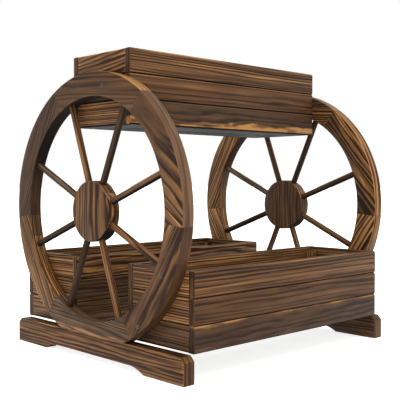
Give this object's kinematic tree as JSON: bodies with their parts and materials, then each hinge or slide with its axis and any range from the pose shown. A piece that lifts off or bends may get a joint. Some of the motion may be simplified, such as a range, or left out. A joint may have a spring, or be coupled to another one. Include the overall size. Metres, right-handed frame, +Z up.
{
  "type": "flower cart stand",
  "caption": "Free-standing plant stand: two spoked wheel end frames on foot beams carry an upper and two lower open plank boxes with drained floors.",
  "frame": {"origin": "centre of the footprint, on the ground", "axes": "+X along the boxes, from one end frame to the other; +Y from front to back; +Z up"},
  "size_m": [0.72, 0.64, 0.718],
  "materials": {
    "stained_fir": "scorched and stained fir with open grain",
    "stained_dowel": "stained turned dowel",
    "floor_board": "dark grey stained board",
    "zinc_screws": "blue zinc plated"
  },
  "bodies": {
    "root": {"back_box_back_planks": "stained_fir", "back_box_corner_posts": "stained_fir", "back_box_floor": "floor_board", "back_box_front_planks": "stained_fir", "back_box_left_end_planks": "stained_fir", "back_box_right_end_planks": "stained_fir", "beam_screws": "zinc_screws", "box_screws": "zinc_screws", "frame_screws": "zinc_screws", "front_box_back_planks": "stained_fir", "front_box_corner_posts": "stained_fir", "front_box_floor": "floor_board", "front_box_front_planks": "stained_fir", "front_box_left_end_planks": "stained_fir", "front_box_right_end_planks": "stained_fir", "left_felloe_1": "stained_fir", "left_felloe_2": "stained_fir", "left_felloe_3": "stained_fir", "left_felloe_4": "stained_fir", "left_felloe_5": "stained_fir", "left_felloe_6": "stained_fir", "left_foot_beam": "stained_fir", "left_hub": "stained_fir", "left_rim_dowels": "stained_dowel", "left_spoke_1": "stained_dowel", "left_spoke_2": "stained_dowel", "left_spoke_3": "stained_dowel", "left_spoke_4": "stained_dowel", "left_spoke_5": "stained_dowel", "left_spoke_6": "stained_dowel", "left_spoke_7": "stained_dowel", "left_spoke_8": "stained_dowel", "right_felloe_1": "stained_fir", "right_felloe_2": "stained_fir", "right_felloe_3": "stained_fir", "right_felloe_4": "stained_fir", "right_felloe_5": "stained_fir", "right_felloe_6": "stained_fir", "right_foot_beam": "stained_fir", "right_hub": "stained_fir", "right_rim_dowels": "stained_dowel", "right_spoke_1": "stained_dowel", "right_spoke_2": "stained_dowel", "right_spoke_3": "stained_dowel", "right_spoke_4": "stained_dowel", "right_spoke_5": "stained_dowel", "right_spoke_6": "stained_dowel", "right_spoke_7": "stained_dowel", "right_spoke_8": "stained_dowel", "upper_box_back_planks": "stained_fir", "upper_box_corner_posts": "stained_fir", "upper_box_floor": "floor_board", "upper_box_front_planks": "stained_fir", "upper_box_left_end_planks": "stained_fir", "upper_box_right_end_planks": "stained_fir"}
  },
  "joints": []
}
